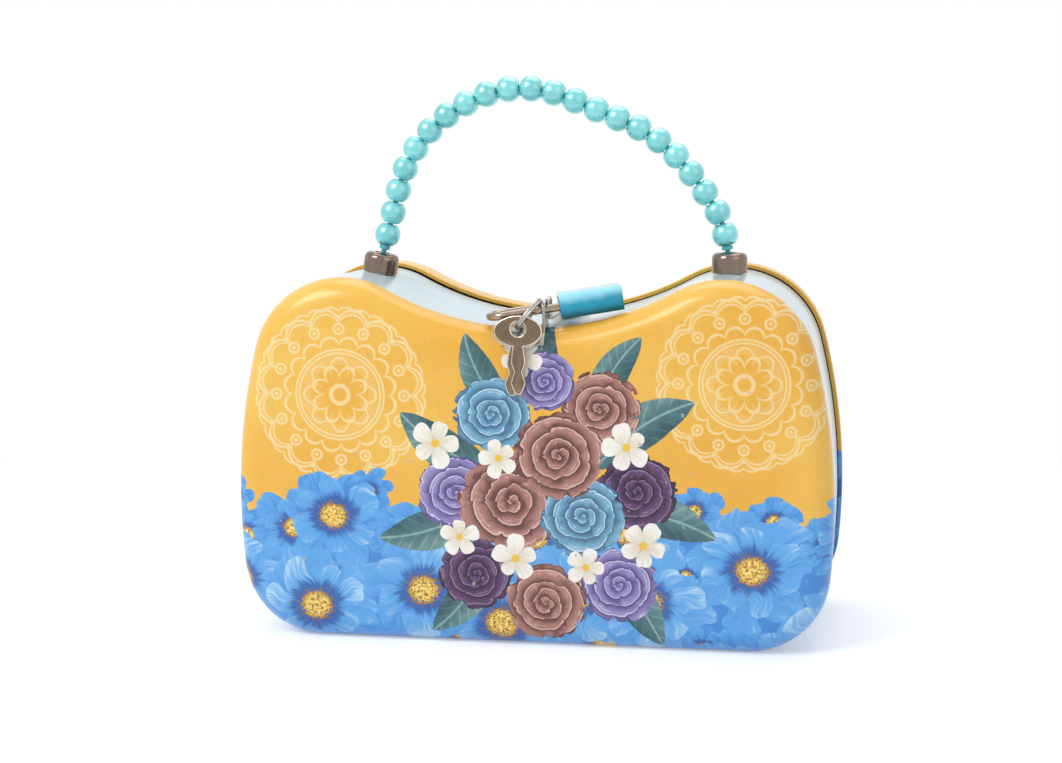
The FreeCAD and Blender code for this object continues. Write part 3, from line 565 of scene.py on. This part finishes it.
def bouquet(tree, x, z, colour):
    """Leaves, roses and blossoms over the colour, each laid over the last."""
    wobble = cloud(tree, joined(tree, x * 0.16, z * 0.16), 1.0, 2.0, 0.6)
    pieces = []
    for middle_x, middle_z, length, degrees in BOUQUET_LEAVES:
        turn = math.radians(degrees)
        own = {"Length": length, "Cosine": math.cos(turn), "Sine": math.sin(turn), "Wobble": wobble}
        pieces.append((leaf, middle_x, middle_z, SAGE, own))
    for middle_x, middle_z, radius, turn, tint in BOUQUET_ROSES:
        own = {"Radius": radius, "Turn": turn, "Wobble": wobble}
        pieces.append((rose, middle_x, middle_z, tint, own))
    for middle_x, middle_z, radius, turn in BOUQUET_BLOSSOMS:
        pieces.append((blossom, middle_x, middle_z, IVORY, {"Radius": radius, "Turn": turn}))
    place = x
    for group, middle_x, middle_z, (deep, plain, pale), own in pieces:
        colour, mask = placed(
            tree, group, X=place, Z=z, Middle_X=middle_x, Middle_Z=middle_z,
            Under=colour, Deep=deep, Plain=plain, Pale=pale, **own,
        )
        place = in_turn(x, mask)
    return colour


def in_turn(x, mask):
    """X again, by way of the last mask, so that the flowers are worked out one after another."""
    return mask * 0.000001 + x


def front_print(tree, x, y, z):
    colour = gold_ground(tree, x, y, z)
    for middle_x, middle_z, radius, strength in LACE_SPOTS:
        mask = placed(tree, lace, X=x, Z=z, Middle_X=middle_x, Middle_Z=middle_z, Radius=radius)[0]
        colour = over(tree, colour, CREAM, mask * strength)
    colour = flower_bed(tree, x, z, colour, FACE_BED_TOP, FACE_FLOWER)
    return bouquet(tree, x, z, colour)


def wall_print(tree, x, y, z):
    ground = over(tree, AQUA, AQUA_PALE, cloud(tree, joined(tree, x, y, z), 0.03, 2.0))
    colour = flower_bed(tree, y + x * 0.3, z, ground, WALL_BED_TOP, WALL_FLOWER)
    # The neck behind the groove gets a painted shadow of the gap under the cover's rim
    return over(tree, colour, GROOVE_SHADOW, y.between(GROOVE_Y - 0.3, GROOVE_Y))


def cover_print(tree, x, y, z):
    ground = gold_ground(tree, x, y, z)
    return flower_bed(tree, x + y + 11.0, z, ground, FACE_BED_TOP, FACE_FLOWER)


def brushed(name, colour, rough, grain_scale):
    """Plated metal with fine grain, faint stains and brighter rubbed spots."""
    material, tree, shader = new_material(name, Metallic=1.0)
    x, y, z = millimetres(tree)
    stain = cloud(tree, joined(tree, x, y, z), 0.35, 3.0, 0.6)
    grain = cloud(tree, joined(tree, x * 0.35, y, z * 3.0), grain_scale, 2.0)
    stained = tuple(channel * 0.84 for channel in colour[:3]) + (1,)
    feed(tree, over(tree, stained, colour, stain.between(0.3, 0.62)), shader.inputs["Base Color"])
    feed(tree, grain * 0.16 + stain * 0.12 + rough - 0.14, shader.inputs["Roughness"])
    bumped(tree, shader, grain, 0.05, 0.0004)
    return material


def moulding_marks(tree, shader, x, y, z, rough):
    """Flow marks and fine scuffs of moulded plastic; gives the flow marks for the colour."""
    flow = cloud(tree, joined(tree, x * 0.5, y, z), 0.3, 2.0)
    scuff = cloud(tree, joined(tree, x * 3.0, y * 0.4, z * 2.0), 1.2, 2.0)
    feed(tree, scuff * 0.1 + rough, shader.inputs["Roughness"])
    bumped(tree, shader, flow, 0.04, 0.001)
    return flow


def spacer_finish():
    """Teal plastic of the spacers and of the wire's jacket."""
    material, tree, shader = new_material("spacer_plastic")
    flow = moulding_marks(tree, shader, *millimetres(tree), 0.2)
    feed(tree, over(tree, SPACER_DEEP, SPACER, flow.between(0.25, 0.75)), shader.inputs["Base Color"])
    return material


def lock_sleeve():
    """Cyan sleeve of the padlock: milky plastic, with painted shade towards its underside and painted light
    towards its top.
    """
    material, tree, shader = new_material("lock_sleeve", Specular_IOR_Level=0.22)
    x, y, z = millimetres(tree)
    flow = moulding_marks(tree, shader, x, y, z, 0.12)
    # Height along the sleeve sets painted shade low down and painted light high up
    height = z - x * LOCK_SLOPE - LOCK_Z + (flow - 0.5) * 2.4
    colour = tones(tree, height.between(LOCK_LOW, LOCK_HIGH), LOCK_PAINTED_SHADE, LOCK_PLAIN, LOCK_PAINTED_LIGHT)
    feed(tree, colour, shader.inputs["Base Color"])
    return material


def pearl_bead():
    """Pearl lacquer over teal, with a pale sheen towards the edge of each bead."""
    material, tree, shader = new_material(
        "pearl_beads", Coat_Weight=1.0, Coat_Roughness=0.24, Coat_IOR=1.9, Sheen_Weight=0.3,
        Sheen_Roughness=0.4, Sheen_Tint=PEARL_RIM,
    )
    edge = tree.nodes.new("ShaderNodeLayerWeight")
    gloss = Flow(tree, edge.outputs["Facing"]).between(0.1, 0.6)
    feed(tree, gloss * 0.75 + 0.15, shader.inputs["Metallic"])
    x, y, z = millimetres(tree)
    bloom = cloud(tree, joined(tree, x, y, z), 0.12, 1.0)
    feed(tree, over(tree, PEARL_DEEP, PEARL, bloom.between(0.3, 0.7)), shader.inputs["Base Color"])
    feed(tree, bloom * 0.1 + 0.25, shader.inputs["Roughness"])
    return material


front_tin = laid_tin("front_tin", front_print, 0.26, 0.7, 0.0)
wall_tin = laid_tin("wall_tin", wall_print, 0.2, 0.4, 0.0)
cover_tin = laid_tin("cover_tin", cover_print, 0.26, 0.6, COVER_Y)
steel = brushed("plain_steel", STEEL, 0.32, 1.6)
bright_plate = brushed("bright_plate", FOOT_CHROME, 0.1, 1.0)
key_plate = brushed("key_nickel", KEY_NICKEL, 0.2, 2.2)
key_edge_highlight = brushed("key_edge_highlight", KEY_EDGE_HIGHLIGHT, 0.16, 2.2)
shackle_plate = brushed("shackle_plate", SHACKLE_CHROME, 0.12, 1.0)
plug_brass = brushed("plug_brass", BRASS, 0.3, 1.4)
lock_plastic = lock_sleeve()
spacer_plastic = spacer_finish()
pearl = pearl_bead()

FINISHES = {
    "front_panel": front_tin,
    "body_wall": wall_tin,
    "rear_cover": cover_tin,
    "foot_cup_left": bright_plate,
    "foot_cup_right": bright_plate,
    "shackle": shackle_plate,
    "bead_spacers": spacer_plastic,
    "handle_wire": spacer_plastic,
    "padlock_shell": lock_plastic,
    "key_plug": plug_brass,
    "key_front": key_plate,
    "key_back": key_plate,
}
for name, node in nodes.items():
    finish = FINISHES.get(name, steel)
    if name.startswith("bead_") and name != "bead_spacers":
        finish = pearl
    node.data.materials.clear()
    node.data.materials.append(finish)


# Small pieces with their sharp edges eased, so that the edges catch the light: widths in metres, and angles
KEY_EASE = 0.00028
SLEEVE_EASE = 0.0005
TONGUE_EASE = 0.00015
CATCH_EASE = 0.00012
SPRING_EASE = 0.00005
MERGE_DISTANCE = 0.000002
FLAT_ANGLE = math.radians(0.5)
EDGE_ANGLE = math.radians(40)
SMOOTH_ANGLE = math.radians(35)


def eased_copy(name, body, width, edge_highlight=None):
    """A copy of a node with its edges eased; the last argument is the finish of the eased edges, a painted
    highlight, where it differs.
    """
    piece = bpy.data.objects.new(name + "_eased", nodes[name].data.copy())
    scene.collection.objects.link(piece)
    bpy.ops.object.select_all(action="DESELECT")
    piece.select_set(True)
    bpy.context.view_layer.objects.active = piece
    bpy.ops.object.mode_set(mode="EDIT")
    bpy.ops.mesh.select_all(action="SELECT")
    bpy.ops.mesh.remove_doubles(threshold=MERGE_DISTANCE)
    bpy.ops.mesh.dissolve_limited(angle_limit=FLAT_ANGLE)
    bpy.ops.object.mode_set(mode="OBJECT")
    bpy.ops.object.modifier_add(type="BEVEL")
    ease = piece.modifiers[-1]
    ease.width = width
    ease.segments = 2
    ease.limit_method = "ANGLE"
    ease.angle_limit = EDGE_ANGLE
    if edge_highlight is not None:
        piece.data.materials.append(edge_highlight)
        ease.material = 1
    bpy.ops.object.modifier_apply(modifier=ease.name)
    bpy.ops.object.shade_smooth_by_angle(angle=SMOOTH_ANGLE)
    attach(piece, body)
    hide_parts(name)
    return piece


def pressed_spring():
    """The shackle's spring, with its edges eased and a mesh of its own; the share of its length left with the
    shackle pushed in is worked out but not used.
    """
    slide = next(joint for joint in frame["joints"] if joint["name"] == "shackle_slide")
    axis = Vector(slide["axis"])
    spring = eased_copy("shackle_spring", "padlock", SPRING_EASE)
    along = [vertex.co.dot(axis) for vertex in spring.data.vertices]
    left = 1 - slide["range_m"][1] / (max(along) - min(along))
    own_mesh(spring)


# The keys' eased edges take the paler finish, a painted highlight along them
eased_copy("key_front", "key_front", KEY_EASE, key_edge_highlight)
eased_copy("key_back", "key_back", KEY_EASE, key_edge_highlight)
eased_copy("padlock_shell", "padlock", SLEEVE_EASE)
eased_copy("hasp_tongue", "cover", TONGUE_EASE)
eased_copy("catch_plate", "case", CATCH_EASE)
pressed_spring()


# Stage: floor, world, lamps and camera
WHITE = (1, 1, 1, 1)
FLOOR_COLOUR = (0.90, 0.90, 0.92, 1)
FLOOR_RADIUS = 3.0
FLOOR_GLOW = 0.36
FADE_FROM = 170.0
FADE_TO = 400.0
SOFT_LIGHT = 0.42

# Lamps: name, place, point that it looks at, width, height and power
LAMPS = [
    ("key_lamp", (-0.55, -0.65, 0.75), (0, 0, 0.06), 0.5, 0.5, 5.6),
    ("fill_lamp", (0.65, -0.55, 0.45), (0, 0, 0.06), 0.7, 0.7, 1.0),
    ("top_lamp", (0.05, 0.25, 0.9), (0, 0, 0.08), 0.8, 0.6, 3.1),
]

# Camera of the photograph: place in metres, turns in degrees, lens and sensor in millimetres
CAMERA_PLACE = (0.096549, -0.550390, 0.147383)
CAMERA_YAW = 10.399
CAMERA_PITCH = 7.332
CAMERA_ROLL = -0.365
CAMERA_LENS = 61.322
CAMERA_SENSOR = 36.0
CAMERA_NEAR = 0.01


def background_rays(tree):
    """1 for the rays that show the background: from the camera, or off metal, or through glass."""
    path = tree.nodes.new("ShaderNodeLightPath")
    shows = Flow(tree, path.outputs["Is Camera Ray"])
    for label in ("Is Glossy Ray", "Is Transmission Ray"):
        shows = shows.most(Flow(tree, path.outputs[label]))
    return shows


def background_mix(tree, near, output, mask=None):
    """White for rays that show the background, and the near shader for the rest."""
    shows = background_rays(tree)
    if mask is not None:
        shows = shows * mask
    white = tree.nodes.new("ShaderNodeEmission" if mask is not None else "ShaderNodeBackground")
    white.inputs["Color"].default_value = WHITE
    white.inputs["Strength"].default_value = 1.0
    mix = tree.nodes.new("ShaderNodeMixShader")
    feed(tree, shows, mix.inputs[0])
    tree.links.new(near, mix.inputs[1])
    tree.links.new(white.outputs[0], mix.inputs[2])
    tree.links.new(mix.outputs[0], output)


def make_floor():
    bpy.ops.object.select_all(action="DESELECT")
    bpy.ops.mesh.primitive_circle_add(vertices=96, radius=FLOOR_RADIUS, fill_type="NGON")
    floor = bpy.context.object
    floor.name = "floor"
    plain = {"Base_Color": FLOOR_COLOUR, "Roughness": 0.6, "Specular_IOR_Level": 0.1}
    material, tree, shader = new_material("floor_white", **plain)
    glow = tree.nodes.new("ShaderNodeEmission")
    feed(tree, background_rays(tree) * FLOOR_GLOW, glow.inputs["Strength"])
    lit = tree.nodes.new("ShaderNodeAddShader")
    tree.links.new(shader.outputs[0], lit.inputs[0])
    tree.links.new(glow.outputs[0], lit.inputs[1])
    x, y, z = millimetres(tree)
    far = length_of(x, y).between(FADE_FROM, FADE_TO)
    background_mix(tree, lit.outputs[0], tree.nodes["Material Output"].inputs["Surface"], far)
    floor.data.materials.append(material)


def make_world():
    world = bpy.data.worlds.new("studio")
    scene.world = world
    world.use_nodes = True
    tree = world.node_tree
    soft = tree.nodes["Background"]
    soft.inputs["Color"].default_value = WHITE
    soft.inputs["Strength"].default_value = SOFT_LIGHT
    background_mix(tree, soft.outputs[0], tree.nodes["World Output"].inputs["Surface"])


def soft_lamp(name, place, target, width, height, power):
    bpy.ops.object.light_add(type="AREA", location=place)
    lamp = bpy.context.object
    lamp.name = name
    lamp.data.shape = "RECTANGLE"
    lamp.data.size = width
    lamp.data.size_y = height
    lamp.data.energy = power
    lamp.rotation_euler = (Vector(target) - Vector(place)).to_track_quat("-Z", "Y").to_euler()


def make_camera():
    yaw, pitch, roll = (math.radians(turn) for turn in (CAMERA_YAW, CAMERA_PITCH, CAMERA_ROLL))
    level = math.cos(pitch)
    back = Vector((math.sin(yaw) * level, -math.cos(yaw) * level, math.sin(pitch)))
    right = (-back).cross(Vector((0, 0, 1))).normalized()
    up = right.cross(-back)
    turned = Matrix((right, up, back)).transposed() @ Matrix.Rotation(roll, 3, "Z")
    bpy.ops.object.camera_add(location=CAMERA_PLACE, rotation=turned.to_euler())
    camera = bpy.context.object
    camera.data.sensor_width = CAMERA_SENSOR
    camera.data.lens = CAMERA_LENS
    camera.data.clip_start = CAMERA_NEAR
    scene.camera = camera


make_floor()
make_world()
for lamp in LAMPS:
    soft_lamp(*lamp)
make_camera()
